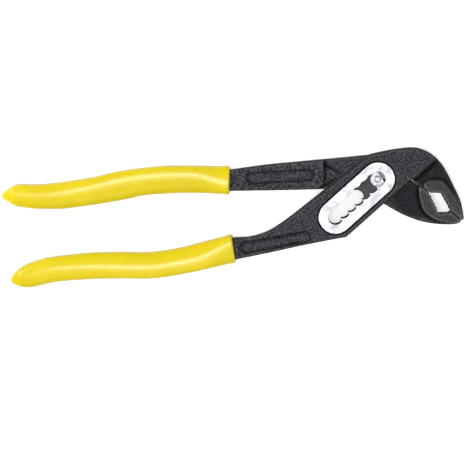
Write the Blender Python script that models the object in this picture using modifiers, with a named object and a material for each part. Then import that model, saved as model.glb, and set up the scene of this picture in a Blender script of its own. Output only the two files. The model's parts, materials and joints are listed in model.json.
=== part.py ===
"""Box-joint tongue and groove pliers, lying flat and closed in the first of seven pivot seats.

The pivot axis is the Z axis, the table is z = 0, +X points from the pivot towards the jaws and
+Z up. Sizes below are millimetres and degrees; the helpers turn them into metres.
"""

from math import acos, asin, atan2, copysign, cos, degrees, pi, radians, sin, sqrt

import bmesh
import bpy
from mathutils import Matrix, Vector

MM = 0.001

# Pivot: a round pin with one flat, which slides along the slot when the flat faces the teeth
PIN_RADIUS = 4.0
PIN_FLAT = 2.15  # from the pivot axis to the flat
PIN_PLAY = 0.15  # between the pin and the wall of its seat
OPENING_ANGLE = 78.0  # from closed handles to the position in which the pin can slide
SPIGOT_RADIUS = 3.1
SPIGOT_FLAT = 1.9
RIVET_RADIUS = 1.0
RIVET_HEAD_RADIUS = 1.5
RIVET_HEAD_HEIGHT = 0.9

# Slot in the cheeks
SLOT_ANGLE = 42.05  # its slope above +X
SEAT_COUNT = 7
SEAT_PITCH = 5.077
TOOTH_CLEARANCE = 0.45  # from the pin's flat to the tooth tips as it slides past
SCALLOP_DEPTH = 0.55  # of the waves in the wall opposite the teeth
BOSS_RADIUS = 9.0

# Thicknesses, all centred on the middle plane
BLADE_THICKNESS = 5.2
SIDE_PLAY = 0.3  # between the blade and each cheek
CHEEK_THICKNESS = 2.6
BOSS_RAISE = 0.5
JAW_THICKNESS = 8.8  # over the raised collar around the mouth
OUTER_JAW_WEB = 7.4  # outer jaw outside its collar
HANDLE_THICKNESS = 8.0
PROW_THICKNESS = 6.8
TANG_END_THICKNESS = 6.0
GRIP_THICKNESS = 12.0

# Plan sizes
BLADE_RADIUS = 13.2  # of the inner lever's disc about the pivot
HANDLE_TOP_ANGLE = 95.6  # direction in which the handle's top edge leaves that disc
PROW = 28.8  # from the pivot back to where the inner lever's thick handle starts
PROW_REACH = 8.9  # length of the sloping point in front of it
JAW_GAP = 0.3  # between the closed jaws
INNER_SHANK = 79.7  # from the pivot to the mouth of the inner lever's grip
OUTER_SHANK = 55.3  # from the last seat to the mouth of the outer lever's grip
INNER_GRIP_LENGTH = 123.8
OUTER_GRIP_LENGTH = 121.0
GRIP_WALL = 1.2
GRIP_LIP = 0.3  # how far the rolled rim at a grip's mouth stands out
GRIP_RIM = 2.2  # length of that rim
GRIP_SQUARENESS = 0.72  # power that turns a grip's elliptical section into a fuller one
FIT_GAP = 0.3  # between pieces that touch
TANG_SHORTFALL = 9.0  # from a tang's end to the grip's closed end
MARK_DEPTH = 0.35  # of the shallow recess in each handle
MARK_RADIUS = 3.0
JAW_TEETH = 4  # in each jaw
JAW_TOOTH_DEPTH = 0.6

BLADE_HALF = BLADE_THICKNESS / 2
WINDOW_HALF = BLADE_HALF + SIDE_PLAY
CHEEK_HALF = WINDOW_HALF + CHEEK_THICKNESS
BOSS_HALF = CHEEK_HALF + BOSS_RAISE
MIDDLE = BOSS_HALF  # height of the middle plane above the table
BEYOND = 30.0  # how far a cutter runs past what it cuts

SEAT_RADIUS = PIN_RADIUS + PIN_PLAY
TOOTH_TIP = PIN_FLAT + TOOTH_CLEARANCE
ALONG = Vector((-cos(radians(SLOT_ANGLE)), -sin(radians(SLOT_ANGLE))))
ACROSS = Vector((ALONG.y, -ALONG.x))  # towards the inner lever's handle
FLAT_ANGLE = SLOT_ANGLE - 90 + OPENING_ANGLE  # direction the closed pin's flat faces
CHEEK_EDGE = 12.0  # from the slot's centre line to the straight edge on the jaws' side
WELD = 0.00001  # metres within which two corners are one

BLACK = ("black_forged_steel", (0.035, 0.034, 0.036, 1.0), 0.55, 0.3)
YELLOW = ("yellow_dipped_vinyl", (0.86, 0.74, 0.03, 1.0), 0.28, 0.0)
BRIGHT = ("bright_ground_steel", (0.78, 0.78, 0.76, 1.0), 0.3, 1.0)


# ---------------------------------------------------------------- outlines

def slot_point(along, across):
    """Plan point at a distance along the slot from the first seat, and across it."""
    return tuple(ALONG * along + ACROSS * across)


def last_seat(dx=0.0, dy=0.0):
    """Plan point offset from the last seat, which carries the outer lever's handle with it."""
    seat = ALONG * SEAT_PITCH * (SEAT_COUNT - 1)
    return (seat.x + dx, seat.y + dy)


def arc(centre, radius, start, end, steps):
    """Points of an arc from angle start to angle end, in degrees."""
    points = []
    for step in range(steps + 1):
        angle = radians(start + (end - start) * step / steps)
        points.append((centre[0] + radius * cos(angle), centre[1] + radius * sin(angle)))
    return points


def spline(points, steps):
    """Smooth curve through points of any dimension (Catmull-Rom), with steps points a span."""
    vectors = [Vector(point) for point in points]
    padded = [2 * vectors[0] - vectors[1]] + vectors + [2 * vectors[-1] - vectors[-2]]
    curve = []
    for index in range(len(vectors) - 1):
        before, start, end, after = padded[index:index + 4]
        for step in range(steps):
            t = step / steps
            curve.append(0.5 * (
                2 * start + (end - before) * t
                + (2 * before - 5 * start + 4 * end - after) * t ** 2
                + (3 * start - before - 3 * end + after) * t ** 3
            ))
    curve.append(vectors[-1])
    return [tuple(vector) for vector in curve]


def serrated(start, end):
    """A jaw's saw teeth from start to end, cut to the left of that direction."""
    first, last = Vector(start), Vector(end)
    step = (last - first) / JAW_TEETH
    inward = Vector((-step.y, step.x)).normalized() * JAW_TOOTH_DEPTH
    points = []
    for index in range(JAW_TEETH):
        base = first + step * index
        points += [tuple(base), tuple(base + step * 0.35 + inward)]
    return points + [tuple(last)]


def flatted_disc(radius, flat, offset=0.0):
    """Outline of the closed pin's section, a disc with one flat, moved outwards by an offset."""
    half = degrees(acos((flat + offset) / (radius + offset)))
    return arc((0, 0), radius + offset, FLAT_ANGLE + half, FLAT_ANGLE + 360 - half, 36)


def slot_outline():
    """Seats as round bays on the toothed side, each with a tooth after it; waves on the other.

    It is drawn along the slot, with the teeth at negative y. Each tooth's back lies along the
    flat of the closed pin in the next seat, and its front is the wall of the seat before it.
    """
    length = SEAT_PITCH * (SEAT_COUNT - 1)
    back = radians(90 + OPENING_ANGLE)  # direction of the closed pin's flat
    gap = PIN_FLAT + PIN_PLAY
    offset = gap + SEAT_PITCH * cos(back)
    crossing = offset * sin(back) - sqrt(SEAT_RADIUS ** 2 - offset ** 2) * cos(back)
    tip = max(TOOTH_TIP, crossing)  # the front and the back of a tooth may meet before TOOTH_TIP
    land_end = SEAT_PITCH + (gap - tip * sin(back)) / cos(back)
    has_land = tip > crossing
    bay_start = degrees(back - acos(gap / SEAT_RADIUS))
    bay_end = degrees(asin(tip / SEAT_RADIUS))
    points = []
    for seat in range(SEAT_COUNT):
        last = seat == SEAT_COUNT - 1
        start = 180 if seat == 0 else bay_start
        end = 0 if last else bay_end
        for x, y in arc((0, 0), SEAT_RADIUS, start, end, 16 if seat == 0 or last else 8):
            points.append((seat * SEAT_PITCH + x, -y))
        if has_land and not last:
            points.append((seat * SEAT_PITCH + land_end, -tip))
    points += [(length + x, y) for x, y in arc((0, 0), SEAT_RADIUS, 0, 90, 8)[1:]]
    waves = 10 * (SEAT_COUNT - 1)
    for step in range(1, waves):
        along = length * (1 - step / waves)
        depth = SCALLOP_DEPTH * (1 - cos(2 * pi * along / SEAT_PITCH)) / 2
        points.append((along, SEAT_RADIUS + depth))
    points += arc((0, 0), SEAT_RADIUS, 90, 180, 8)[:-1]
    return [slot_point(*point) for point in points]


def boss_outline():
    """Racetrack around the slot."""
    ends = (arc((0, 0), BOSS_RADIUS, SLOT_ANGLE - 90, SLOT_ANGLE + 90, 24),
            arc(last_seat(), BOSS_RADIUS, SLOT_ANGLE + 90, SLOT_ANGLE + 270, 24))
    return ends[0] + ends[1]


def inner_grip_line():
    """Stations of the inner grip, mouth to tip: x, y, half width."""
    shape = ((0.0, -0.7, 7.25), (0.172, -0.2, 7.1), (0.272, -0.4, 7.3), (0.373, -1.4, 7.2),
             (0.473, -3.5, 7.6), (0.581, -6.2, 7.25), (0.674, -7.9, 7.1), (0.742, -9.0, 6.95),
             (0.842, -9.5, 6.4), (0.925, -8.9, 5.9), (0.955, -8.8, 5.2), (0.98, -8.9, 3.6),
             (1.0, -9.1, 1.4))
    return [(-INNER_SHANK - share * INNER_GRIP_LENGTH, y, half) for share, y, half in shape]


def outer_grip_line():
    """Stations of the outer grip, mouth to tip: x, y, half width."""
    shape = ((0.0, -17.4, 7.4), (0.122, -21.0, 7.2), (0.224, -23.9, 6.9), (0.362, -26.5, 6.9),
             (0.499, -26.5, 6.9), (0.636, -26.95, 6.95), (0.773, -28.4, 6.7),
             (0.842, -29.8, 6.7), (0.911, -32.0, 6.3), (0.955, -33.2, 5.2), (0.982, -33.8, 3.6),
             (1.0, -34.0, 1.5))
    mouth = last_seat()
    return [(mouth[0] - OUTER_SHANK - share * OUTER_GRIP_LENGTH, mouth[1] + y, half)
            for share, y, half in shape]


def tang_sides(line, length):
    """Upper and lower side of the bar inside a grip, each from the mouth to its end."""
    mouth = line[0][0]
    upper, lower = [], []
    stations = spline(line, 4)
    for index in range(1, len(stations) - 1):
        x, y, half = stations[index]
        if mouth - x > length - TANG_SHORTFALL:
            break
        ahead = Vector(stations[index + 1][:2]) - Vector(stations[index - 1][:2])
        side = Vector((ahead.y, -ahead.x)).normalized() * (half - GRIP_WALL - FIT_GAP)
        upper.append((x + side.x, y + side.y))
        lower.append((x - side.x, y - side.y))
    return upper, lower


def shank_end(line, side):
    """Point just outside a grip's mouth, on the upper (1) or lower (-1) side of the bar."""
    x, y, half = line[0]
    return (x + 1.2, y + side * (half - GRIP_WALL - FIT_GAP))


def split_point(along, side):
    """Point on the closed jaws' parting line behind the mouth, moved to one side of it."""
    root, mouth = Vector((20.9, -2.75)), Vector((27.2, -6.85))
    normal = Vector((mouth.y - root.y, root.x - mouth.x)).normalized()
    return tuple(root + (mouth - root) * along + normal * -side * JAW_GAP / 2)


def tip_point(along, side):
    """Point on the parting line in front of the mouth, moved to one side of it."""
    inner, tip = Vector((39.2, -17.4)), Vector((44.8, -22.3))
    normal = Vector((tip.y - inner.y, inner.x - tip.x)).normalized()
    return tuple(inner + (tip - inner) * along + normal * -side * JAW_GAP / 2)


def inner_outline():
    """Inner lever: tang, handle, disc about the pivot, neck and lower jaw."""
    line = inner_grip_line()
    upper, lower = tang_sides(line, INNER_GRIP_LENGTH)
    x = -INNER_SHANK
    fourth_seat = slot_point(3 * SEAT_PITCH, 0)
    return (
        upper[::-1]
        + spline([shank_end(line, 1), (x * 0.75, 7.65), (x * 0.54, 9.2), (-25.8, 10.8)], 4)
        + arc((0, 0), BLADE_RADIUS, HANDLE_TOP_ANGLE, -3, 20)
        + [split_point(0, -1), split_point(1, -1)]
        + serrated((27.75, -9.0), (31.65, -16.7))
        + [(32.4, -18.5), (38.5, -18.3), tip_point(0, -1), tip_point(1, -1)]
        + spline([(44.2, -23.1), (42.3, -24.2), (35.5, -24.7), (25.3, -23.5), (16.8, -20.7),
                  (10.4, -17.6), (3.15, -13.4)], 4)
        + arc(fourth_seat, SEAT_RADIUS, -35, 100, 12)
        + spline([(-16.5, -5.35), (-29.2, -5.5), (x * 0.6, -6.0), shank_end(line, -1)], 3)
        + lower
    )


def outer_outline():
    """Outer lever: tang, handle, cheeks, hump and upper jaw."""
    line = outer_grip_line()
    upper, lower = tang_sides(line, OUTER_GRIP_LENGTH)
    top = [shank_end(line, 1), last_seat(-45.8, -10.9), last_seat(-38.1, -8.7),
           last_seat(-31.3, -5.1), last_seat(-24.5, -0.3), last_seat(-16.0, 6.3)]
    hump = [(-4.0, 13.1), (-0.3, 13.9), (8.25, 15.6), (16.8, 16.65), (21.9, 16.3), (27.0, 14.3),
            (32.1, 10.3), (36.3, 4.6), (40.6, -3.8), (44.0, -10.9), (45.7, -17.8), (46.1, -20.9)]
    bottom = [last_seat(5.9, -10.9), last_seat(4.2, -11.2), last_seat(-3.2, -12.5),
              last_seat(-20.3, -15.9), last_seat(-37.2, -19.8), shank_end(line, -1)]
    return (
        upper[::-1]
        + spline(top, 4)
        + spline(hump, 5)
        + [(45.9, -21.5), tip_point(1, 1), tip_point(0, 1)]
        + serrated((39.4, -16.6), (34.7, -8.2))
        + [(34.2, -7.7), (28.0, -7.3), split_point(1, 1), split_point(0, 1)]
        + [slot_point(-13.4, -CHEEK_EDGE), slot_point(SEAT_PITCH * (SEAT_COUNT - 1), -CHEEK_EDGE)]
        + spline(bottom, 3)
        + lower
    )


def window_outline():
    """Passage between the cheeks that the inner lever's blade sweeps through in every seat."""
    radius = BLADE_RADIUS + FIT_GAP
    wall_angle = HANDLE_TOP_ANGLE - OPENING_ANGLE  # of the blade's top edge at full opening
    rise = 25.0
    wall_top = (radius - rise * sin(radians(wall_angle))) / cos(radians(wall_angle))
    floor = last_seat(0, -5.9)[1]
    heel = last_seat(-15.8, 0)[0]
    return (
        [(wall_top, rise)]
        + arc((0, 0), radius, wall_angle, -3, 6)
        + [split_point(0, 0), (21.5, -3.6), (21.5, floor - 25), (heel - 3.4, floor - 25)]
        + arc((heel - 2, floor - 2), 2, 0, 90, 5)
        + [(heel - 40, floor), (heel - 40, rise)]
    )


# ---------------------------------------------------------------- making and joining solids

def make_collection(name):
    collection = bpy.data.collections.new(name)
    bpy.context.scene.collection.children.link(collection)
    return collection


def make_material(finish):
    name, colour, roughness, metallic = finish
    if name in bpy.data.materials:
        return bpy.data.materials[name]
    material = bpy.data.materials.new(name)
    material.diffuse_color = colour
    material.use_nodes = True
    shader = material.node_tree.nodes["Principled BSDF"]
    shader.inputs["Base Color"].default_value = colour
    shader.inputs["Roughness"].default_value = roughness
    shader.inputs["Metallic"].default_value = metallic
    return material


def add_object(name, mesh, finish):
    """An object for a piece, or for a cutter where finish is None."""
    obj = bpy.data.objects.new(name, mesh)
    if finish is None:
        cutters.objects.link(obj)
        obj.hide_render = True
        obj.display_type = "WIRE"
    else:
        parts.objects.link(obj)
        mesh.materials.append(make_material(finish))
    return obj


def prism(name, outline, low, high, finish=None, frame=None):
    """A flat outline from height low to height high, as a filled and extruded curve made a mesh.

    Heights are above the middle plane. A frame places the outline's own x, y and z elsewhere.
    """
    curve = bpy.data.curves.new(name, "CURVE")
    curve.dimensions = "2D"
    curve.fill_mode = "BOTH"
    curve.extrude = (high - low) / 2 * MM
    line = curve.splines.new("POLY")
    line.points.add(len(outline) - 1)
    for point, (x, y) in zip(line.points, outline):
        point.co = (x * MM, y * MM, 0, 1)
    line.use_cyclic_u = True
    guide = bpy.data.objects.new(name, curve)
    cutters.objects.link(guide)
    bpy.context.view_layer.update()
    graph = bpy.context.evaluated_depsgraph_get()
    mesh = bpy.data.meshes.new_from_object(guide.evaluated_get(graph))
    bpy.data.objects.remove(guide)
    mesh.transform(Matrix.Translation((0, 0, (low + high) / 2 * MM)))
    if frame is not None:
        mesh.transform(frame)
    mesh.transform(Matrix.Translation((0, 0, MIDDLE * MM)))
    close_mesh(mesh)
    return add_object(name, mesh, finish)


def close_mesh(mesh):
    """Welds the loose caps and turns the faces outwards."""
    solid = bmesh.new()
    solid.from_mesh(mesh)
    bmesh.ops.remove_doubles(solid, verts=solid.verts, dist=WELD)
    bmesh.ops.recalc_face_normals(solid, faces=solid.faces)
    solid.to_mesh(mesh)
    solid.free()


def combine(target, other, operation):
    """Boolean of two meshes, which hides the second as a cutter."""
    step = target.modifiers.new(other.name, "BOOLEAN")
    step.operation = operation
    step.solver = "EXACT"
    step.object = other


def both_faces(target, name, outline, level, frame=None):
    """Lowers both faces of a piece to a level from the middle plane, within an outline."""
    combine(target, prism(name + "_front", outline, level, BEYOND, None, frame), "DIFFERENCE")
    combine(target, prism(name + "_rear", outline, -BEYOND, -level, None, frame), "DIFFERENCE")


def taper_faces(target, name, profile, half_width):
    """Cuts both faces to a side profile of (x, half thickness) that runs the same at every y."""
    frame = Matrix.Rotation(pi / 2, 4, "X")
    first, last = profile[0][0], profile[-1][0]
    for side, word in ((1, "front"), (-1, "rear")):
        outline = [(x, side * half) for x, half in profile]
        outline += [(last, side * BEYOND), (first, side * BEYOND)]
        cutter = prism(f"{name}_{word}", outline, -half_width, half_width, None, frame)
        combine(target, cutter, "DIFFERENCE")


def mark_recess(target, name, start, end, level_at):
    """Shallow round-ended recess in both faces, following their slope along X."""
    first, last = Vector(start), Vector(end)
    direction = degrees(atan2(last.y - first.y, last.x - first.x))
    slope = atan2(level_at(last.x) - level_at(first.x), last.x - first.x)
    middle = (first.x + last.x) / 2
    outline = (arc(last, MARK_RADIUS, direction - 90, direction + 90, 10)
               + arc(first, MARK_RADIUS, direction + 90, direction + 270, 10))
    local = [(x - middle, y) for x, y in outline]
    for side, word in ((1, "front"), (-1, "rear")):
        place = Matrix.Translation((middle * MM, 0, side * level_at(middle) * MM))
        frame = place @ Matrix.Rotation(-side * slope, 4, "Y")
        depth = (-MARK_DEPTH, 2.0) if side > 0 else (-2.0, MARK_DEPTH)
        combine(target, prism(f"{name}_{word}", local, *depth, None, frame), "DIFFERENCE")


def sleeve(name, line, finish):
    """Closed bar with rounded sections along a line of (x, y, half width) stations."""
    corners = 24
    stations = spline(line, 4)
    loops = []
    solid = bmesh.new()
    for index, (x, y, half) in enumerate(stations):
        before = Vector(stations[max(index - 1, 0)][:2])
        after = Vector(stations[min(index + 1, len(stations) - 1)][:2])
        ahead = (after - before).normalized()
        side = Vector((ahead.y, -ahead.x))
        closing = min(1.0, half / 5.6) ** 0.7  # the blunt end is lower as well as narrower
        height = GRIP_THICKNESS / 2 * closing
        loop = []
        for step in range(corners):
            angle = 2 * pi * step / corners
            across = copysign(half * abs(cos(angle)) ** GRIP_SQUARENESS, cos(angle))
            up = copysign(height * abs(sin(angle)) ** GRIP_SQUARENESS, sin(angle))
            place = Vector((x, y)) + side * across
            loop.append(solid.verts.new((place.x * MM, place.y * MM, (MIDDLE + up) * MM)))
        loops.append(loop)
    for loop, following in zip(loops, loops[1:]):
        for step in range(corners):
            after = (step + 1) % corners
            solid.faces.new((loop[step], loop[after], following[after], following[step]))
    solid.faces.new(loops[0][::-1])
    solid.faces.new(loops[-1])
    bmesh.ops.recalc_face_normals(solid, faces=solid.faces)
    mesh = bpy.data.meshes.new(name)
    solid.to_mesh(mesh)
    solid.free()
    return add_object(name, mesh, finish)


# ---------------------------------------------------------------- pieces

def make_inner_lever():
    """Forged lever whose blade passes between the cheeks; it carries the lower jaw."""
    lever = prism("inner_lever", inner_outline(), -JAW_THICKNESS / 2, JAW_THICKNESS / 2, BLACK)
    tip = -INNER_SHANK - INNER_GRIP_LENGTH
    handle = HANDLE_THICKNESS / 2
    taper_faces(lever, "inner_handle_face", [
        (-12.0, handle), (-INNER_SHANK + 6, handle), (tip, TANG_END_THICKNESS / 2),
    ], 60)
    blade_zone = [
        (-PROW, 22), (-PROW, 6.9), (PROW_REACH - PROW, 2.9), (-PROW, -2.95), (-PROW - 4.2, -5.8),
        (-PROW - 5.7, -8.2), (-PROW - 5.7, -40), (39.5, -40), (38.4, -26),
    ] + spline([(37.2, -24.0), (32.8, -22.9), (28.9, -21.0), (25.4, -18.6), (23.5, -15.5),
                (22.1, -10.5), (21.7, -6.3), (21.7, -3.0)], 3) + [(21.7, 22)]
    both_faces(lever, "blade_face", blade_zone, BLADE_HALF)
    taper_faces(lever, "prow_face", [
        (-PROW, PROW_THICKNESS / 2), (PROW_REACH - PROW, BLADE_HALF + 0.05),
        (-14, BLADE_HALF + 0.05),
    ], 22)
    mark_recess(lever, "inner_mark", (-67.4, 0.5), (-37.0, 2.2), lambda x: handle)
    spigot = flatted_disc(SPIGOT_RADIUS, SPIGOT_FLAT, FIT_GAP)
    combine(lever, prism("spigot_hole", spigot, -BEYOND, BEYOND), "DIFFERENCE")
    return lever


def make_outer_lever():
    """Forged lever with the two cheeks, the slotted boss and the upper jaw."""
    lever = prism("outer_lever", outer_outline(), -CHEEK_HALF, CHEEK_HALF, BLACK)
    handle = HANDLE_THICKNESS / 2
    start, end = last_seat(-22, 0)[0], last_seat(-OUTER_SHANK + 6, 0)[0]
    tip = last_seat(-OUTER_SHANK - OUTER_GRIP_LENGTH, 0)[0]
    taper_faces(lever, "outer_handle_face", [
        (start + 8, CHEEK_HALF + 0.4 * (CHEEK_HALF - handle) / 1.5), (start, CHEEK_HALF),
        (end, handle), (tip, TANG_END_THICKNESS / 2),
    ], 80)
    make_jaw_step(lever)
    combine(lever, prism("slot_boss", boss_outline(), -BOSS_HALF, BOSS_HALF), "UNION")
    combine(lever, prism("window", window_outline(), -WINDOW_HALF, WINDOW_HALF), "DIFFERENCE")
    combine(lever, prism("slot", slot_outline(), -BEYOND, BEYOND), "DIFFERENCE")
    slope = (CHEEK_HALF - handle) / (start - end)
    mark_recess(lever, "outer_mark", last_seat(-48.5, -16.8), last_seat(-16.5, -10.7),
                lambda x: min(CHEEK_HALF, handle + slope * (x - end)))
    return lever


def make_jaw_step(lever):
    """Lowers the outer jaw beyond the cheeks, and leaves a collar standing around the mouth."""
    web, collar = OUTER_JAW_WEB / 2, JAW_THICKNESS / 2
    fall = CHEEK_HALF - web
    # The step runs along the cheeks' edge, so its profile is drawn across the slot
    frame = Matrix((
        (ACROSS.x, 0, ALONG.x, 0), (ACROSS.y, 0, ALONG.y, 0), (0, 1, 0, 0), (0, 0, 0, 1),
    ))
    rim = spline([(24.4, -3.2), (25.9, -1.3), (29.4, -0.6), (34.7, -1.1), (37.4, -4.1),
                  (40.1, -7.6), (42.9, -12.2), (44.9, -16.8), (45.6, -20.3)], 3)
    rim += [(52, -24), (44, -30), (33, -13), (24, -9)]
    around = [(22.4, -3.0), (24.2, 1.0), (35.0, 1.6), (56, -14), (52, -33), (30, -33), (22.4, -9)]
    for side, word in ((1, "front"), (-1, "rear")):
        edge = -CHEEK_EDGE - 0.2
        profile = [(edge + 0.5, side * (CHEEK_HALF + 0.5)), (edge - fall, side * web),
                   (-75, side * web), (-75, side * BEYOND), (edge + 0.5, side * BEYOND)]
        step = prism(f"jaw_web_{word}", profile, -70, 40, None, frame)
        limits = (-BEYOND - 5, BEYOND + 5)
        combine(step, prism(f"collar_{word}", rim, *limits), "DIFFERENCE")
        combine(lever, step, "DIFFERENCE")
        limits = (collar, BEYOND) if side > 0 else (-BEYOND, -collar)
        combine(lever, prism(f"collar_face_{word}", around, *limits), "DIFFERENCE")


def make_lock_bush(name, side):
    """One half of the pivot: a head with a flat in a cheek's slot, and a spigot in the blade."""
    head = flatted_disc(PIN_RADIUS, PIN_FLAT)
    spigot = flatted_disc(SPIGOT_RADIUS, SPIGOT_FLAT)

    def limits(low, high):
        return (low, high) if side > 0 else (-high, -low)

    bush = prism(name, head, *limits(WINDOW_HALF, BOSS_HALF), BRIGHT)
    root = prism(name + "_spigot", spigot, *limits(FIT_GAP / 2, WINDOW_HALF + 0.6))
    combine(bush, root, "UNION")
    bore = arc((0, 0), RIVET_RADIUS + FIT_GAP, 0, 345, 23)
    combine(bush, prism(name + "_bore", bore, -BEYOND, BEYOND), "DIFFERENCE")
    recess = arc((0, 0), RIVET_HEAD_RADIUS + FIT_GAP, 0, 345, 23)
    depth = limits(BOSS_HALF - RIVET_HEAD_HEIGHT - FIT_GAP, BEYOND)
    combine(bush, prism(name + "_recess", recess, *depth), "DIFFERENCE")
    return bush


def make_pivot_rivet():
    """Rivet through both bushes, its two heads flush with the boss."""
    neck = BOSS_HALF - RIVET_HEAD_HEIGHT
    profile = [(0, BOSS_HALF), (RIVET_HEAD_RADIUS, BOSS_HALF), (RIVET_HEAD_RADIUS, neck),
               (RIVET_RADIUS, neck), (RIVET_RADIUS, -neck), (RIVET_HEAD_RADIUS, -neck),
               (RIVET_HEAD_RADIUS, -BOSS_HALF), (0, -BOSS_HALF)]
    mesh = bpy.data.meshes.new("pivot_rivet")
    points = [(radius * MM, 0, (MIDDLE + height) * MM) for radius, height in profile]
    mesh.from_pydata(points, [(i, i + 1) for i in range(len(points) - 1)], [])
    rivet = add_object("pivot_rivet", mesh, BRIGHT)
    turn = rivet.modifiers.new("turn", "SCREW")
    turn.steps = turn.render_steps = 32
    turn.use_merge_vertices = True
    turn.merge_threshold = 0.000001
    return rivet


def make_grip(name, line, length):
    """Dipped vinyl sleeve over a tang, open at its mouth and with a rolled rim there."""
    x, y, half = line[0]
    behind_rim = (x - 2.1 * GRIP_RIM, y - 0.1 + (line[1][1] - y) * 0.2, half - 0.1)
    rimmed = [(x, y, half + GRIP_LIP), (x - GRIP_RIM, y - 0.05, half + GRIP_LIP), behind_rim]
    grip = sleeve(name, rimmed + line[1:], YELLOW)
    combine(grip, sleeve_cavity(name + "_cavity", line, length), "DIFFERENCE")
    return grip


def sleeve_cavity(name, line, length):
    """Space for the tang inside a grip: the tang's outline and faces, moved out by the gap."""
    upper, lower = tang_sides(line, length)
    gap = FIT_GAP
    spread = []
    for high, low in zip(upper, lower):
        side = (Vector(high) - Vector(low)).normalized() * gap
        spread.append((Vector(high) + side, Vector(low) - side))
    ahead = (spread[0][0] - spread[1][0]).normalized()
    back = (spread[-1][0] - spread[-2][0]).normalized()
    highs = [tuple(spread[0][0] + ahead * 12)] + [tuple(high) for high, _ in spread]
    lows = [tuple(spread[0][1] + ahead * 12)] + [tuple(low) for _, low in spread]
    highs.append(tuple(spread[-1][0] + back * gap))
    lows.append(tuple(spread[-1][1] + back * gap))
    outline = highs + lows[::-1]
    cavity = prism(name, outline, -HANDLE_THICKNESS / 2 - gap, HANDLE_THICKNESS / 2 + gap)
    mouth, tip = line[0][0], line[0][0] - length
    taper_faces(cavity, name + "_face", [
        (mouth + 30, HANDLE_THICKNESS / 2 + gap), (mouth + 6, HANDLE_THICKNESS / 2 + gap),
        (tip, TANG_END_THICKNESS / 2 + gap),
    ], 120)
    return cavity


for old in list(bpy.data.objects):
    bpy.data.objects.remove(old)
parts = make_collection("tongue_and_groove_pliers")
cutters = make_collection("cutters")
cutters.hide_render = True

make_outer_lever()
make_inner_lever()
make_lock_bush("lock_bush_front", 1)
make_lock_bush("lock_bush_rear", -1)
make_pivot_rivet()
make_grip("outer_grip", outer_grip_line(), OUTER_GRIP_LENGTH)
make_grip("inner_grip", inner_grip_line(), INNER_GRIP_LENGTH)
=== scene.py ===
"""Tongue and groove pliers: two black forged levers, a flatted pivot pin and yellow dipped grips.

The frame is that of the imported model: the pivot axis is Z, the table is z = 0 and the jaws point
along +X. On the tool, a size times MM is in metres and one without it is in millimetres. The file
follows the tool as it is put together.
"""

import json
from math import cos, pi, radians, sin

import bmesh
import bpy
import numpy as np
from mathutils import Matrix, Vector, noise
from mathutils.bvhtree import BVHTree


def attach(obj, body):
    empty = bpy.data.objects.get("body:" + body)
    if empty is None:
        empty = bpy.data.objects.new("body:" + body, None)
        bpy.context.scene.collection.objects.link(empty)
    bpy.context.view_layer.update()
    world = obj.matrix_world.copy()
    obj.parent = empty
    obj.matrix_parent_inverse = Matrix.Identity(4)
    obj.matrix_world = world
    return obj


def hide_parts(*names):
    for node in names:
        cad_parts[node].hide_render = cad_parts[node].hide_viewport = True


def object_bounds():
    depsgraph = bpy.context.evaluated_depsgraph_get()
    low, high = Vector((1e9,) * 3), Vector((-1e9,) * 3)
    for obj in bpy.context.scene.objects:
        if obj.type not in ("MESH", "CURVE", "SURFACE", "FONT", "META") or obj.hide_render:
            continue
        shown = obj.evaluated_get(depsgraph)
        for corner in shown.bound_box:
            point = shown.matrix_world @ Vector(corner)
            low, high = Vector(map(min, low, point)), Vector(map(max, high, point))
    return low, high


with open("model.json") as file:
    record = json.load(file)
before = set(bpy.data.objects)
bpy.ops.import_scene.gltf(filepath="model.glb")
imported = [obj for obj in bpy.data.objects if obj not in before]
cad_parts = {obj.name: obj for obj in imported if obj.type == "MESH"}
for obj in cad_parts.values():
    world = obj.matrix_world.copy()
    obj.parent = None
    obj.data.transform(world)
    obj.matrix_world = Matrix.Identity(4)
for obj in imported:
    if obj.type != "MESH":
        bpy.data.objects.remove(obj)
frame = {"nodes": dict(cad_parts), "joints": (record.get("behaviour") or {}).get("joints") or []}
cad_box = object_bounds()


# ---------------------------------------------------------------- outer lever forging
# One drop forging in chrome vanadium steel: lower handle bar, two cheeks and the hooked upper jaw.
# Its edges come out of the dies well rounded, its skin is scaly and painted black, and only the
# boss around the slot is ground bright, so the boss is left out here and made next.

MM = 0.001
middle = (cad_box[0][2] + cad_box[1][2]) / 2
slide = next(joint for joint in frame["joints"] if joint["name"] == "seat_slide")
along_slot = Vector(slide["axis"]).normalized()
last_seat = along_slot * slide["range_m"][1]
seat = tuple(last_seat.xy / MM)
boss_radius = 8.85 * MM
pocket_room = 0.35 * MM
groove_offset = 0.6
arc_steps = 32
cutter_low, cutter_high = -1 * MM, 13 * MM
weld_distance = 0.001 * MM

forging_grain = 0.42 * MM
edge_softening = 9
easing, spared_easing = 0.5, 0.4
skin_wave = 0.035 * MM
fine_lumps, broad_lumps, broad_share = 1.3 * MM, 7 * MM, 1.4
bulge_rounds = 3
wear_and_shade_bulge, collar_highlight_bulge = 0.012 * MM, 0.02 * MM
crease_width = 0.42
crease_depth = 0.1 * MM
flank_from, flank_span = 0.93, 0.3
face_above, wall_below = 0.5, 0.6

mouth = ((32, -9.5), (35.5, -15.5), 5.2)
parting_lines = (((18.5, -1.2), (28.5, -8.2)), ((38.8, -16.8), (45.5, -22)))
parting_detail, parting_reach = 2.0, 1.2
jaw_fill = 0.11 * MM
collar_zone = ((34, -10), (37, -17), 12)
collar_height, collar_step = 4.15 * MM, 0.2 * MM
jaw_web_zone = ((19, -10), (38, 2), 9)
recess_radius = 3.0
outer_mark = ((seat[0] - 48.5, seat[1] - 16.8), (seat[0] - 16.5, seat[1] - 10.7), 3.4)


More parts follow.
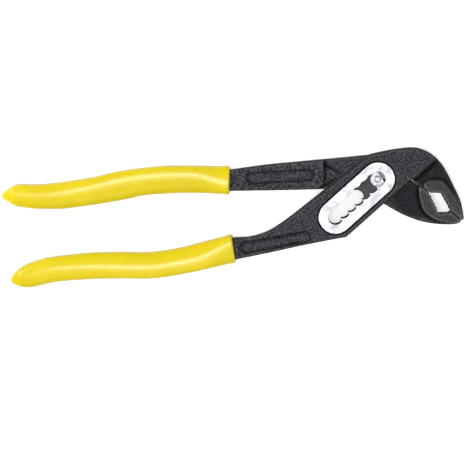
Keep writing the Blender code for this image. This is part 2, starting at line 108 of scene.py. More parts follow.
def cad_copy(node, name):
    """A welded copy of a CAD node's mesh, as a new piece with no material."""
    mesh = frame["nodes"][node].data.copy()
    mesh.name = name
    solid = bmesh.new()
    solid.from_mesh(mesh)
    bmesh.ops.remove_doubles(solid, verts=solid.verts, dist=weld_distance)
    solid.to_mesh(mesh)
    solid.free()
    mesh.materials.clear()
    return new_piece(name, mesh)


def new_piece(name, mesh):
    """An object of its own at the origin, for a mesh that is already in its place."""
    piece = bpy.data.objects.new(name, mesh)
    bpy.context.scene.collection.objects.link(piece)
    return piece


def settle(piece):
    """Turns the piece's modifiers into its plain mesh."""
    bpy.context.view_layer.update()
    graph = bpy.context.evaluated_depsgraph_get()
    mesh = bpy.data.meshes.new_from_object(piece.evaluated_get(graph))
    piece.modifiers.clear()
    piece.data = mesh


def prism(name, outline, low, high):
    """A closed prism on a plan outline."""
    solid = bmesh.new()
    floor = solid.faces.new([solid.verts.new((x, y, low)) for x, y in outline])
    lifted = bmesh.ops.extrude_face_region(solid, geom=[floor])["geom"]
    bmesh.ops.translate(solid, vec=(0, 0, high - low),
                        verts=[item for item in lifted if isinstance(item, bmesh.types.BMVert)])
    bmesh.ops.recalc_face_normals(solid, faces=solid.faces)
    mesh = bpy.data.meshes.new(name)
    solid.to_mesh(mesh)
    solid.free()
    return new_piece(name, mesh)


def racetrack(name, radius):
    """A prism with a racetrack outline around the slot's seats, taller than the tool."""
    slope = np.arctan2(-along_slot.y, -along_slot.x)
    outline = []
    for centre, start in ((Vector((0, 0, 0)), slope - pi / 2), (last_seat, slope + pi / 2)):
        for step in range(arc_steps + 1):
            angle = start + pi * step / arc_steps
            outline.append(centre.xy + Vector((cos(angle), sin(angle))) * radius)
    return prism(name, outline, cutter_low, cutter_high)


def combine(piece, helper, operation):
    """Cuts, trims or joins a piece with a helper solid, and removes the helper."""
    step = piece.modifiers.new("step", "BOOLEAN")
    step.operation = operation
    step.solver = "EXACT"
    step.object = helper
    settle(piece)
    bpy.data.objects.remove(helper)


def plan_distance(points, start, end):
    """How far each point lies in plan from the line start to end, in millimetres."""
    start, end = np.array(start) * MM, np.array(end) * MM
    run = end - start
    share = np.clip((points[:, :2] - start) @ run / max(run @ run, MM ** 3), 0, 1)
    return np.linalg.norm(points[:, :2] - start - share[:, None] * run, axis=1) / MM


def nearness(points, start, end, radius):
    """1 within a radius of a plan line from start to end, falling to 0 half a radius further."""
    return np.clip(3 - 2 * plan_distance(points, start, end) / radius, 0, 1)


def forge(piece, grain, rounds, keep_sharp, creases):
    """Gives a piece the soft edges and the uneven skin of a forging.

    keep_sharp lists (start, end, radius) of plan lines about which details stay nearly as sharp.
    creases lists (start, end, radius) of plan outlines pressed in as narrow lines, which the paint
    darkens with painted shade. The jaws' meeting faces are filled out a little. Returns the skin's
    points and their distance from the middle plane, and leaves the marks that the paint reads as
    attributes, painted shade and a painted highlight among them.
    """
    skin = piece.modifiers.new("skin", "REMESH")
    skin.mode = "VOXEL"
    skin.voxel_size = grain
    settle(piece)
    mesh = piece.data
    count = len(mesh.vertices)
    points = np.empty(count * 3)
    mesh.vertices.foreach_get("co", points)
    points = points.reshape(-1, 3)
    ends = np.empty(len(mesh.edges) * 2, int)
    mesh.edges.foreach_get("vertices", ends)
    ends = ends.reshape(-1, 2)
    degree = np.bincount(ends.ravel(), minlength=count)[:, None]
    ease = np.full(count, easing)
    for zone in keep_sharp + [(*line, parting_detail) for line in parting_lines]:
        ease = np.minimum(ease, easing - spared_easing * nearness(points, *zone))

    def drift():
        """How far each point is from the mean of its neighbours."""
        total = np.empty_like(points)
        for axis in range(3):
            total[:, axis] = (
                np.bincount(ends[:, 0], points[ends[:, 1], axis], count)
                + np.bincount(ends[:, 1], points[ends[:, 0], axis], count))
        return total / degree - points

    for _ in range(rounds):
        points += drift() * ease[:, None]
    mesh.vertices.foreach_set("co", points.ravel())
    mesh.update()
    normals = np.empty(count * 3)
    mesh.vertices.foreach_get("normal", normals)
    normals = normals.reshape(-1, 3)
    bulge = -np.einsum("ij,ij->i", drift(), normals)
    for _ in range(bulge_rounds):
        bulge = (np.bincount(ends[:, 0], bulge[ends[:, 1]], count)
                 + np.bincount(ends[:, 1], bulge[ends[:, 0]], count)) / degree[:, 0]
    # Convex edges are rubbed paler by wear; concave hollows, below zero, get painted shade.
    store(mesh, "edge_wear_hollow_shade", np.clip(bulge / wear_and_shade_bulge, -1, 1))
    lift = np.array([
        noise.noise(Vector(point) / fine_lumps)
        + broad_share * noise.noise(Vector(point) / broad_lumps) for point in points])
    crease_with_painted_shade = np.zeros(count)
    for start, end, radius in creases:
        off = np.abs(plan_distance(points, start, end) - radius)
        crease_with_painted_shade = np.maximum(crease_with_painted_shade, np.exp(-(off / crease_width) ** 2))
    crease_with_painted_shade *= np.abs(normals[:, 2]) > face_above
    points += normals * (lift * ease / easing * skin_wave - crease_with_painted_shade * crease_depth)[:, None]
    meeting = np.maximum(*(nearness(points, *line, parting_reach) for line in parting_lines))
    meeting *= np.abs(normals[:, 2]) < wall_below
    points += normals * (meeting * jaw_fill)[:, None]
    # Painted shade: the paint darkens the pressed creases as dark lines.
    store(mesh, "crease_with_painted_shade", crease_with_painted_shade)
    # Painted shade: steeper surfaces are painted darker.
    store(mesh, "painted_flank_shade", np.clip((flank_from - np.abs(normals[:, 2])) / flank_span, 0, 1))
    mesh.vertices.foreach_set("co", points.ravel())
    mesh.shade_smooth()
    mesh.update()
    height = np.abs(points[:, 2] - middle)
    raised = np.clip((height - collar_height) / collar_step, 0, 1)
    collar = nearness(points, *collar_zone) * raised
    store(mesh, "collar", collar)
    # Painted highlight: the collars' rounded edges, for a paler band.
    store(mesh, "rim", collar * np.clip(bulge / collar_highlight_bulge, 0, 1))
    # Painted shade: the low jaw web below the collars is darkened.
    store(mesh, "web", nearness(points, *jaw_web_zone) * (1 - raised))
    return points, height


def store(mesh, name, values):
    """Keeps one number a vertex, for a material to read."""
    mesh.attributes.new(name, "FLOAT", "POINT").data.foreach_set("value", values)


def add_nodes(material):
    """A material's node tree, its node maker, its Principled shader and object coordinates."""
    material.use_nodes = True
    tree = material.node_tree

    def make(kind, **values):
        node = tree.nodes.new(kind)
        for key, value in values.items():
            if key in node.inputs:
                node.inputs[key].default_value = value
            else:
                setattr(node, key, value)
        return node

    return tree, make, tree.nodes["Principled BSDF"], make("ShaderNodeTexCoord").outputs["Object"]


def blend_colours(tree, make, factor, low, high):
    """Colour that goes from low to high with a factor."""
    mix = make("ShaderNodeMix", data_type="RGBA")
    tree.links.new(factor, mix.inputs["Factor"])
    for socket, colour in ((6, low), (7, high)):
        if isinstance(colour, tuple):
            mix.inputs[socket].default_value = (*colour, 1)
        else:
            tree.links.new(colour, mix.inputs[socket])
    return mix.outputs[2]


def spread(tree, make, value, low, high, to_low, to_high):
    """A value's range from low to high, moved to to_low and to_high and clamped there."""
    map_range = make("ShaderNodeMapRange", clamp=True)
    tree.links.new(value, map_range.inputs[0])
    for index, number in enumerate((low, high, to_low, to_high), 1):
        map_range.inputs[index].default_value = number
    return map_range.outputs[0]


def black_forged_steel():
    """Scaly forged skin under thin black paint, rubbed paler along its edges.

    The collars about the mouth are ground and blued, and the blade is rubbed grey where it
    slides between the cheeks. Painted shade darkens the steep sides, the hollows, the pressed
    creases and the low jaw web; a painted highlight lies on the collars' rounded edges, and a
    painted light patch on the blade in the gap by the pin.
    """
    material = bpy.data.materials.new("black_forged_steel")
    tree, make, shader, place = add_nodes(material)
    link = tree.links.new
    scale_marks = make("ShaderNodeTexNoise", Scale=1050.0, Detail=4.0, Roughness=0.65)
    patches = make("ShaderNodeTexNoise", Scale=170.0, Detail=3.0, Roughness=0.55)
    pits = make("ShaderNodeTexVoronoi", Scale=1100.0, Randomness=1.0)
    for texture in (scale_marks, patches, pits):
        link(place, texture.inputs["Vector"])
    grain = spread(tree, make, scale_marks.outputs[0], 0.40, 0.62, 0.0, 1.0)
    tint = spread(tree, make, patches.outputs[0], 0.38, 0.64, 0.0, 1.0)
    dark = blend_colours(tree, make, tint, (0.002, 0.002, 0.003), (0.005, 0.004, 0.005))
    pale = blend_colours(tree, make, tint, (0.066, 0.065, 0.078), (0.088, 0.078, 0.090))
    colour = blend_colours(tree, make, grain, dark, pale)
    for name, low, high, reach, tone in (
            # Painted shade: the low jaw web is darkened.
            ("web", 0.0, 1.0, 0.75, (0.003, 0.003, 0.005)),
            ("rubbed", 0.2, 1.0, 0.85, (0.080, 0.083, 0.092)),
            # Painted light: a pale patch on the blade in the shaded gap by the pin.
            ("bright", 0.2, 1.0, 0.90, (0.70, 0.70, 0.72)),
            ("collar", 0.2, 1.0, 0.60, (0.044, 0.047, 0.039)),
            ("edge_wear_hollow_shade", 0.3, 1.0, 0.22, (0.090, 0.088, 0.092)),
            # Painted highlight: the collars' rounded edges are paler.
            ("rim", 0.4, 1.0, 0.55, (0.150, 0.150, 0.145))):
        mark = make("ShaderNodeAttribute", attribute_name=name)
        amount = spread(tree, make, mark.outputs["Fac"], low, high, 0.0, reach)
        broken = make("ShaderNodeMath", operation="MULTIPLY")
        link(amount, broken.inputs[0])
        link(spread(tree, make, scale_marks.outputs[0], 0.3, 0.5, 0.35, 1.0), broken.inputs[1])
        colour = blend_colours(tree, make, broken.outputs[0], colour, tone)
    # Painted shade: concave hollows, steep sides and pressed creases are darkened towards black.
    for name, low, high, from_low, to_high in (("edge_wear_hollow_shade", -0.8, -0.1, 0.85, 0.0),
                                               ("painted_flank_shade", 0.0, 1.0, 0.0, 0.85),
                                               ("crease_with_painted_shade", 0.1, 0.8, 0.0, 0.9)):
        mark = make("ShaderNodeAttribute", attribute_name=name)
        shade = spread(tree, make, mark.outputs["Fac"], low, high, from_low, to_high)
        colour = blend_colours(tree, make, shade, colour, (0.001, 0.001, 0.0015))
    link(colour, shader.inputs["Base Color"])
    link(spread(tree, make, patches.outputs[0], 0.3, 0.7, 0.45, 0.62), shader.inputs["Roughness"])
    shader.inputs["Specular IOR Level"].default_value = 0.08
    height = make("ShaderNodeMath", operation="MULTIPLY_ADD")
    link(scale_marks.outputs[0], height.inputs[0])
    height.inputs[1].default_value = 1.0
    link(pits.outputs["Distance"], height.inputs[2])
    bump = make("ShaderNodeBump", Strength=0.9, Distance=0.14 * MM)
    link(height.outputs[0], bump.inputs["Height"])
    link(bump.outputs[0], shader.inputs["Normal"])
    return material


black_steel = black_forged_steel()
outer_forging = cad_copy("outer_lever", "outer_lever_forging")
combine(outer_forging, racetrack("boss_pocket", boss_radius + pocket_room), "DIFFERENCE")
forge(outer_forging, forging_grain, edge_softening, [mouth, outer_mark],
      [(*outer_mark[:2], recess_radius), ((0, 0), seat, boss_radius / MM + groove_offset)])
outer_forging.data.materials.append(black_steel)
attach(outer_forging, "outer_lever")
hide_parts("outer_lever")


# ---------------------------------------------------------------- raised ribs in the recesses
# Each handle has a shallow round-ended recess on both faces, forged with a row of plain raised
# strokes of uneven length in it. They are part of the forging, under the same black paint.

rib_radius = 0.24 * MM
rib_length = 4.1 * MM
rib_pitch = 1.16 * MM
rib_sides = 12
least_stretch, most_stretch = (0.7, 0.55, 0.9), (1.5, 1.0, 1.0)
rib_rub = 0.55
probe_height = 20 * MM
inner_ribs = ((-66.6, 0.55), (-37.8, 2.15))


def rib_row_nodes():
    """Geometry nodes for a row of half-sunk round-backed ribs along X."""
    tree = bpy.data.node_groups.new("rib_row", "GeometryNodeTree")
    sockets = {}
    for name, kind, value in (("Count", "NodeSocketInt", 10), ("Pitch", "NodeSocketFloat", 0.001),
                              ("Length", "NodeSocketFloat", 0.003),
                              ("Radius", "NodeSocketFloat", 0.0002),
                              ("Seed", "NodeSocketInt", 3)):
        socket = tree.interface.new_socket(name, in_out="INPUT", socket_type=kind)
        socket.default_value = value
        sockets[name] = socket.identifier
    tree.interface.new_socket("Geometry", in_out="OUTPUT", socket_type="NodeSocketGeometry")
    link = tree.links.new
    given = tree.nodes.new("NodeGroupInput")
    result = tree.nodes.new("NodeGroupOutput")
    step = tree.nodes.new("ShaderNodeCombineXYZ")
    link(given.outputs["Pitch"], step.inputs["X"])
    row = tree.nodes.new("GeometryNodeMeshLine")
    link(given.outputs["Count"], row.inputs["Count"])
    link(step.outputs[0], row.inputs["Offset"])
    spine = tree.nodes.new("GeometryNodeCurvePrimitiveLine")
    for tip, share in (("Start", -0.5), ("End", 0.5)):
        half = tree.nodes.new("ShaderNodeMath")
        half.operation = "MULTIPLY"
        half.inputs[1].default_value = share
        link(given.outputs["Length"], half.inputs[0])
        place = tree.nodes.new("ShaderNodeCombineXYZ")
        link(half.outputs[0], place.inputs["Y"])
        link(place.outputs[0], spine.inputs[tip])
    section = tree.nodes.new("GeometryNodeCurvePrimitiveCircle")
    section.inputs["Resolution"].default_value = rib_sides
    link(given.outputs["Radius"], section.inputs["Radius"])
    rod = tree.nodes.new("GeometryNodeCurveToMesh")
    rod.inputs["Fill Caps"].default_value = True
    link(spine.outputs[0], rod.inputs["Curve"])
    link(section.outputs[0], rod.inputs["Profile Curve"])
    stretch = tree.nodes.new("FunctionNodeRandomValue")
    stretch.data_type = "FLOAT_VECTOR"
    stretch.inputs[0].default_value = least_stretch
    stretch.inputs[1].default_value = most_stretch
    link(given.outputs["Seed"], stretch.inputs["Seed"])
    ribs = tree.nodes.new("GeometryNodeInstanceOnPoints")
    link(row.outputs[0], ribs.inputs["Points"])
    link(rod.outputs[0], ribs.inputs["Instance"])
    link(stretch.outputs[0], ribs.inputs["Scale"])
    solid = tree.nodes.new("GeometryNodeRealizeInstances")
    paint = tree.nodes.new("GeometryNodeSetMaterial")
    paint.inputs["Material"].default_value = black_steel
    link(ribs.outputs[0], solid.inputs[0])
    link(solid.outputs[0], paint.inputs["Geometry"])
    link(paint.outputs[0], result.inputs[0])
    return tree, sockets


def mark_ribs(name, node, start, end, seed):
    """Rows of ribs in the recesses of both faces, laid on the floors found on the CAD lever."""
    tree, sockets = rib_row_nodes()
    lever = frame["nodes"][node].data
    surface = BVHTree.FromPolygons([vertex.co for vertex in lever.vertices],
                                   [face.vertices for face in lever.polygons])
    start, end = Vector(start) * MM, Vector(end) * MM
    piece = new_piece(name, bpy.data.meshes.new(name))
    rows = piece.modifiers.new("rows", "NODES")
    rows.node_group = tree
    rows[sockets["Count"]] = int((end - start).length / rib_pitch) + 1
    rows[sockets["Pitch"]] = rib_pitch
    rows[sockets["Length"]] = rib_length
    rows[sockets["Radius"]] = rib_radius
    rows[sockets["Seed"]] = seed
    settle(piece)
    row = piece.data
    both = bmesh.new()
    for side in (1, -1):
        feet = [surface.ray_cast(Vector((*place, middle + side * probe_height)),
                                 Vector((0, 0, -side)))[0] for place in (start, end)]
        along = (feet[1] - feet[0]).normalized()
        across = Vector((0, 0, 1)).cross(along).normalized()
        turn = Matrix((along, across, along.cross(across))).transposed().to_4x4()
        placed = row.copy()
        placed.transform(Matrix.Translation(feet[0]) @ turn)
        both.from_mesh(placed)
    both.to_mesh(row)
    both.free()
    store(row, "rubbed", np.full(len(row.vertices), rib_rub))
    row.shade_smooth()
    return piece


for body, start, end, seed in (("outer_lever", *outer_mark[:2], 4),
                               ("inner_lever", *inner_ribs, 9)):
    ribs = mark_ribs(body + "_mark_ribs", body, start, end, seed)
    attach(ribs, body)


# ---------------------------------------------------------------- ground boss
# The raised racetrack around the adjusting slot, one on each cheek. It is part of the forging,
# ground flat and bright on its face, with the seats and teeth broached through it.

boss_depth = 3.05 * MM
broken_edge = 0.14 * MM
corner_angle = radians(35)
boss_middle, boss_reach = Vector((-11, -10)) * MM, 26 * MM
face_tolerance, facing = 0.05 * MM, 0.9
scratch_size = (4 * MM, 0.2 * MM, 0.2 * MM)


def ground_steel():
    """Surface-ground steel: fine scratches along the slot on a bright face."""
    material = bpy.data.materials.new("ground_steel")
    tree, make, shader, place = add_nodes(material)
    link = tree.links.new
    turned = make("ShaderNodeMapping", vector_type="TEXTURE")
    slope = np.arctan2(along_slot.y, along_slot.x)
    turned.inputs["Rotation"].default_value = (0, 0, float(slope))
    turned.inputs["Scale"].default_value = scratch_size
    link(place, turned.inputs["Vector"])
    scratches = make("ShaderNodeTexNoise", Scale=1.0, Detail=3.0, Roughness=0.6)
    link(turned.outputs[0], scratches.inputs["Vector"])
    clouds = make("ShaderNodeTexNoise", Scale=210.0, Detail=2.0)
    link(place, clouds.inputs["Vector"])
    tint = spread(tree, make, clouds.outputs[0], 0.35, 0.65, 0.0, 1.0)
    link(blend_colours(tree, make, tint, (0.29, 0.30, 0.32), (0.50, 0.50, 0.50)),
         shader.inputs["Base Color"])
    link(spread(tree, make, scratches.outputs[0], 0.3, 0.7, 0.38, 0.6), shader.inputs["Roughness"])
    shader.inputs["Metallic"].default_value = 1.0
    bump = make("ShaderNodeBump", Strength=0.18, Distance=0.02 * MM)
    link(scratches.outputs[0], bump.inputs["Height"])
    link(bump.outputs[0], shader.inputs["Normal"])
    return material


def boss_plate(name, side):
    """The boss of one cheek, raised from the outline of its ground face on the CAD lever."""
    face_height = cad_box[1][2] if side > 0 else cad_box[0][2]
    solid = bmesh.new()
    solid.from_mesh(frame["nodes"]["outer_lever"].data)
    bmesh.ops.remove_doubles(solid, verts=solid.verts, dist=weld_distance)
    bmesh.ops.delete(solid, context="FACES", geom=[
        face for face in solid.faces
        if abs(face.calc_center_median().z - face_height) > face_tolerance
        or face.normal.z * side < facing
        or (face.calc_center_median().xy - boss_middle).length > boss_reach])
    walls = bmesh.ops.extrude_face_region(solid, geom=solid.faces[:])["geom"]
    bmesh.ops.translate(solid, vec=(0, 0, -side * boss_depth),
                        verts=[item for item in walls if isinstance(item, bmesh.types.BMVert)])
    bmesh.ops.recalc_face_normals(solid, faces=solid.faces)
    mesh = bpy.data.meshes.new(name)
    solid.to_mesh(mesh)
    solid.free()
    plate = new_piece(name, mesh)
    combine(plate, racetrack("boss_trim", boss_radius), "INTERSECT")
    mesh = plate.data
    mesh.materials.append(bright_steel)
    mesh.materials.append(black_steel)
    for face in mesh.polygons:
        face.material_index = 0 if face.normal.z * side > facing else 1
    edge = plate.modifiers.new("broken edge", "BEVEL")
    edge.width = broken_edge
    edge.segments = 2
    edge.limit_method = "ANGLE"
    edge.angle_limit = corner_angle
    edge.material = 0
    settle(plate)
    return plate


bright_steel = ground_steel()
for name, side in (("ground_boss_front", 1), ("ground_boss_rear", -1)):
    plate = boss_plate(name, side)
    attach(plate, "outer_lever")
    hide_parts("outer_lever")


# ---------------------------------------------------------------- inner lever forging
# The second drop forging: the upper handle bar, a thin blade between the cheeks, the lower jaw.
# It has the same scaly black skin as the outer lever, and a thin web closes the jaws' root.

inner_mark = ((-67.4, 0.5), (-37.0, 2.2), 3.4)
prow = ((-28.0, 5.0), (-28.0, -1.5), 5.0)
prow_corners = ((-28.8, -2.8), (-28.8, 7.0), (-19.9, 2.9))
blade_sweep = ((1, 1), (-9, -8), 4.5)
blade_half = 2.9 * MM
# A painted light patch on the blade, in the shaded gap by the pin.
pin_gap_light_spot = ((2.9, 2.2), (2.9, 2.2), 2.0)
web_half = 2.3 * MM
root_web = ((16.0, -2.6), (16.4, -2.0), (17.2, -1.6), (17.75, -1.1), (18.0, -0.95), (18.3, -1.2),
            (19.2, -1.65), (19.9, -2.2), (20.3, -2.6), (20.7, -3.0), (20.0, -3.6), (16.5, -3.4))

inner_forging = cad_copy("inner_lever", "inner_lever_forging")
combine(inner_forging, prism("root_web", [Vector(corner) * MM for corner in root_web],
                             middle - web_half, middle + web_half), "UNION")
skin, height = forge(inner_forging, forging_grain, edge_softening, [mouth, inner_mark, prow],
                     [(*inner_mark[:2], recess_radius)]
                     + [(*side, 0) for side in zip(prow_corners, prow_corners[1:])])
store(inner_forging.data, "rubbed", nearness(skin, *blade_sweep) * (height < blade_half))
# Painted light: a pale patch in the gap by the pin.
store(inner_forging.data, "bright", nearness(skin, *pin_gap_light_spot))
inner_forging.data.materials.append(black_steel)
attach(inner_forging, "inner_lever")
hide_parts("inner_lever")


# ---------------------------------------------------------------- pivot pin
# Two flatted half bushes, turned and ground from hardened steel and keyed into the blade, so
# they turn with the inner lever. A riveted steel pin holds them. All rims have a small chamfer.

bush_chamfer, rivet_chamfer = 0.15 * MM, 0.12 * MM
flat_angle = radians(1)


def machined(node, name, chamfer):
    """A turned piece from its CAD node, with chamfered rims and a ground finish."""
    piece = cad_copy(node, name)
    solid = bmesh.new()
    solid.from_mesh(piece.data)
    bmesh.ops.dissolve_limit(solid, angle_limit=flat_angle, verts=solid.verts, edges=solid.edges)
    solid.to_mesh(piece.data)
    solid.free()
    edge = piece.modifiers.new("chamfer", "BEVEL")
    edge.width = chamfer
    edge.segments = 2
    edge.limit_method = "ANGLE"
    edge.angle_limit = corner_angle
    settle(piece)
    piece.data.shade_smooth()
    piece.data.set_sharp_from_angle(angle=corner_angle)
    piece.data.materials.append(bright_steel)
    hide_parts(node)
    return piece


for node in ("lock_bush_front", "lock_bush_rear"):
    bush = machined(node, node + "_ground", bush_chamfer)
    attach(bush, "inner_lever")

rivet = machined("pivot_rivet", "pivot_rivet_headed", rivet_chamfer)
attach(rivet, "pivot")


# ---------------------------------------------------------------- dipped grips
# Soft yellow vinyl, dipped over each bar in one thick glossy coat that ends in a rolled rim.
# The coat follows the bar's bends and closes in a blunt nose.

inner_grip_line = [
    (0.0, -0.7, 7.25), (0.172, -0.2, 7.1), (0.272, -0.4, 7.3), (0.373, -1.4, 7.2),
    (0.473, -3.5, 7.6), (0.581, -6.2, 7.25), (0.674, -7.9, 7.1), (0.742, -9.0, 6.95),
    (0.842, -9.5, 6.4), (0.92, -8.9, 6.0), (0.945, -8.85, 5.3), (0.97, -8.95, 3.5),
    (0.985, -9.1, 2.2), (1.0, -9.2, 0.9)]
outer_grip_line = [
    (0.0, -17.4, 7.4), (0.122, -21.0, 7.2), (0.224, -23.9, 6.9), (0.362, -26.5, 6.9),
    (0.499, -26.5, 6.9), (0.636, -26.95, 6.95), (0.773, -28.4, 6.7), (0.842, -29.8, 6.7),
    (0.911, -32.2, 6.3), (0.945, -33.4, 5.3), (0.975, -34.3, 3.4), (1.0, -34.9, 0.9)]
line_steps = 6
coat_half_height = 5.9
coat_wall = 1.2
coat_fullness = 0.4
nose_half, nose_bluntness = 5.6, 0.7
rim_stand, rim_length, rim_steepness = 0.45, 2.2, 3
lip_reach, lip_inset, lip_drop = 0.3, 0.35, 0.5
mouth_turn, turn_reach = np.array((-0.8, 0)), 5
lining_half_height, lining_taper = 4.3, 1
tang_shortfall = 9.0
section_points = 32
coat_squareness, lip_squareness, lining_squareness = 0.72, 0.6, 0.3
grip_flank_from, grip_flank_span = 0.55, 0.4
crest_shares = (0, 0.05, 0.14, 0.5, 0.8)
crest_leans = (-0.32, -0.12, 0.34, 0.36, 0.1)


def smooth_line(points, steps):
    """Catmull-Rom curve through points, with a number of steps a span."""
    points = [np.array(point, float) for point in points]
    points = [2 * points[0] - points[1]] + points + [2 * points[-1] - points[-2]]
    line = []
    for before, start, end, after in zip(points, points[1:], points[2:], points[3:]):
        for step in range(steps):
            t = step / steps
            line.append(0.5 * (2 * start + (end - before) * t
                               + (2 * before - 5 * start + 4 * end - after) * t ** 2
                               + (3 * start - before - 3 * end + after) * t ** 3))
    return line + [points[-2]]


def dipped_coat(name, line, mouth_x, base_y, length, outer_side):
    """A hollow grip: skin from mouth to nose, a rolled lip, and the bar's space inside.

    line holds (share of the length, sideways, half width). The crest of the skin leans to the
    inner side at the mouth and to the outer side further on, and the nose closes bluntly.
    """
    shell = bmesh.new()

    def ring(x, y, ahead, half, height, squareness, lean=0):
        side = np.array((ahead[1], -ahead[0]))
        loop = []
        for step in range(section_points):
            angle = 2 * pi * step / section_points
            share = np.copysign(abs(cos(angle)) ** squareness, cos(angle))
            up = np.copysign(height * abs(sin(angle)) ** squareness, sin(angle))
            share += lean * (1 - share ** 2)
            at = np.array((x, y)) + side * share * half
            loop.append(shell.verts.new((at[0] * MM, at[1] * MM, middle + up * MM)))
        return loop

    def join(first, second):
        for step in range(section_points):
            after = (step + 1) % section_points
            shell.faces.new((first[step], first[after], second[after], second[step]))

    stations = smooth_line(line, line_steps)
    places = np.array([(mouth_x - share * length, base_y + y) for share, y, _ in stations])
    aheads = np.gradient(places, axis=0)
    aheads /= np.linalg.norm(aheads, axis=1)[:, None]
    skin, lining = [], []
    for (share, _, half), (x, y), ahead in zip(stations, places, aheads):
        from_mouth = share * length
        ahead = ahead + mouth_turn * np.exp(-from_mouth / turn_reach)
        ahead /= np.linalg.norm(ahead)
        rim = rim_stand / (1 + np.exp((from_mouth - rim_length) * rim_steepness))
        lean = outer_side * float(np.interp(share, crest_shares, crest_leans))
        height = coat_half_height * min(1.0, half / nose_half) ** nose_bluntness
        skin.append(ring(x, y, ahead, half + coat_fullness + rim, height + rim,
                         coat_squareness, lean))
        if from_mouth < length - tang_shortfall:
            lining.append(ring(x, y, ahead, half - coat_wall,
                               lining_half_height - from_mouth / length * lining_taper,
                               lining_squareness))
    x, y = places[0]
    half = stations[0][2]
    ahead = aheads[0] + mouth_turn
    lip = ring(x + lip_reach, y, ahead / np.linalg.norm(ahead), half - lip_inset,
               coat_half_height - lip_drop, lip_squareness)
    for first, second in zip(skin, skin[1:]):
        join(first, second)
    join(lip, skin[0])
    join(lining[0], lip)
    for first, second in zip(lining, lining[1:]):
        join(second, first)
    shell.faces.new(skin[-1])
    shell.faces.new(lining[-1][::-1])
    bmesh.ops.recalc_face_normals(shell, faces=shell.faces)
    mesh = bpy.data.meshes.new(name)
    shell.to_mesh(mesh)
    shell.free()
    coat = new_piece(name, mesh)
    soften = coat.modifiers.new("soften", "SUBSURF")
    soften.levels = soften.render_levels = 1
    settle(coat)
    coat.data.shade_smooth()
    coat.data.update()
    # Painted shade: the coat's steep sides, for the paint to darken.
    normals = np.empty(len(coat.data.vertices) * 3)
    coat.data.vertices.foreach_get("normal", normals)
    store(coat.data, "painted_flank_shade", np.clip(
        (grip_flank_from - np.abs(normals[2::3])) / grip_flank_span, 0, 1))
    return coat


def yellow_vinyl():
    """Glossy plastisol: a slick surface, a faint ripple and painted shade on the steep sides."""
    material = bpy.data.materials.new("yellow_dipped_vinyl")
    tree, make, shader, place = add_nodes(material)
    link = tree.links.new
    clouds = make("ShaderNodeTexNoise", Scale=45.0, Detail=2.0)
    ripple = make("ShaderNodeTexNoise", Scale=320.0, Detail=2.0)
    for texture in (clouds, ripple):
        link(place, texture.inputs["Vector"])
    tint = spread(tree, make, clouds.outputs[0], 0.3, 0.7, 0.0, 1.0)
    colour = blend_colours(tree, make, tint, (0.60, 0.465, 0.002), (0.65, 0.52, 0.004))
    # Painted shade: the steep sides turn dark olive.
    painted_flank_shade = make("ShaderNodeAttribute", attribute_name="painted_flank_shade")
    shade = spread(tree, make, painted_flank_shade.outputs["Fac"], 0.0, 1.0, 0.0, 0.6)
    link(blend_colours(tree, make, shade, colour, (0.24, 0.18, 0.003)),
         shader.inputs["Base Color"])
    link(spread(tree, make, ripple.outputs[0], 0.3, 0.7, 0.24, 0.34), shader.inputs["Roughness"])
    shader.inputs["Specular IOR Level"].default_value = 0.22
    shader.inputs["Coat Weight"].default_value = 0.14
    shader.inputs["Coat Roughness"].default_value = 0.12
    shader.inputs["Subsurface Weight"].default_value = 0.15
    shader.inputs["Subsurface Radius"].default_value = (1.0, 0.7, 0.1)
    shader.inputs["Subsurface Scale"].default_value = 1.2 * MM
    bump = make("ShaderNodeBump", Strength=0.12, Distance=0.06 * MM)
    link(ripple.outputs[0], bump.inputs["Height"])
    link(bump.outputs[0], shader.inputs["Normal"])
    return material


vinyl = yellow_vinyl()
coats = (
    ("outer_grip", "outer_lever", outer_grip_line, seat[0] - 55.0, seat[1], 121.9, -1),
    ("inner_grip", "inner_lever", inner_grip_line, -79.7, 0.0, 123.8, 1))
for node, body, *shape in coats:
    coat = dipped_coat(node + "_coat", *shape)
    coat.data.materials.append(vinyl)
    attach(coat, body)
    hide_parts(node)


# ---------------------------------------------------------------- table, light and camera
# A plain pale table, a hair below the tool, in a white studio with three soft light boxes. The
# camera stands almost straight above. Here sizes are in metres, and only the sensor's is not.

half_table = 3.0
table_drop = 0.2 * MM
glow = 0.42
view_centre = Vector((-77.9 * MM, -31.9 * MM, middle))
view_width = 252.8 * MM
image_width, image_height = 466, 475
sensor = 36
distance = 0.8
lean = Vector((0.04, 0.1, 1)).normalized()

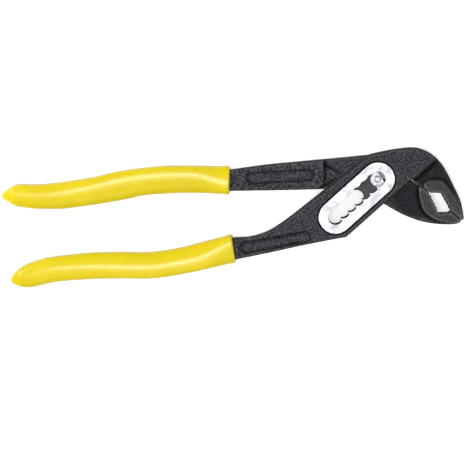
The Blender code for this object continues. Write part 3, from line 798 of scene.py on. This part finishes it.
table_mesh = bpy.data.meshes.new("table")
corners = ((-1, -1), (1, -1), (1, 1), (-1, 1))
table_mesh.from_pydata([(x * half_table, y * half_table, -table_drop) for x, y in corners],
                       [], [(0, 1, 2, 3)])
table = new_piece("table", table_mesh)
pale = bpy.data.materials.new("pale_table")
pale.use_nodes = True
matt = pale.node_tree.nodes["Principled BSDF"].inputs
matt["Base Color"].default_value = (0.8, 0.8, 0.8, 1)
matt["Roughness"].default_value = 0.9
matt["Specular IOR Level"].default_value = 0.0
matt["Emission Color"].default_value = (1, 1, 1, 1)
matt["Emission Strength"].default_value = glow
table_mesh.materials.append(pale)

world = bpy.data.worlds.new("studio")
bpy.context.scene.world = world
world.use_nodes = True
sky = world.node_tree.nodes["Background"].inputs
sky["Color"].default_value = (1, 1, 1, 1)
sky["Strength"].default_value = glow


def softbox(name, place, width, height, power):
    """A rectangular area light turned to the middle of the tool."""
    light = bpy.data.lights.new(name, "AREA")
    light.shape = "RECTANGLE"
    light.size, light.size_y = width, height
    light.energy = power
    lamp = bpy.data.objects.new(name, light)
    lamp.location = place
    lamp.rotation_euler = (tool_middle - Vector(place)).to_track_quat("-Z", "Y").to_euler()
    bpy.context.scene.collection.objects.link(lamp)


tool_middle = Vector((-0.08, -0.03, 0))
softbox("overhead", (-0.08, -0.03, 0.9), 0.5, 0.12, 4.5)
softbox("side", (-0.75, 0.25, 0.5), 0.5, 0.4, 4.5)
softbox("fill", (0.1, -0.6, 0.8), 0.9, 0.5, 1.5)

camera_data = bpy.data.cameras.new("camera")
camera_data.sensor_width = sensor
camera_data.lens = sensor * distance / view_width * image_width / image_height
camera_data.clip_start = 0.05
camera = bpy.data.objects.new("camera", camera_data)
upward = lean.cross(Vector((1, 0, 0))).normalized()
turn = Matrix((upward.cross(lean), upward, lean)).transposed().to_4x4()
camera.matrix_world = Matrix.Translation(view_centre + lean * distance) @ turn
bpy.context.scene.collection.objects.link(camera)
bpy.context.scene.camera = camera
bpy.context.scene.view_settings.view_transform = "Standard"
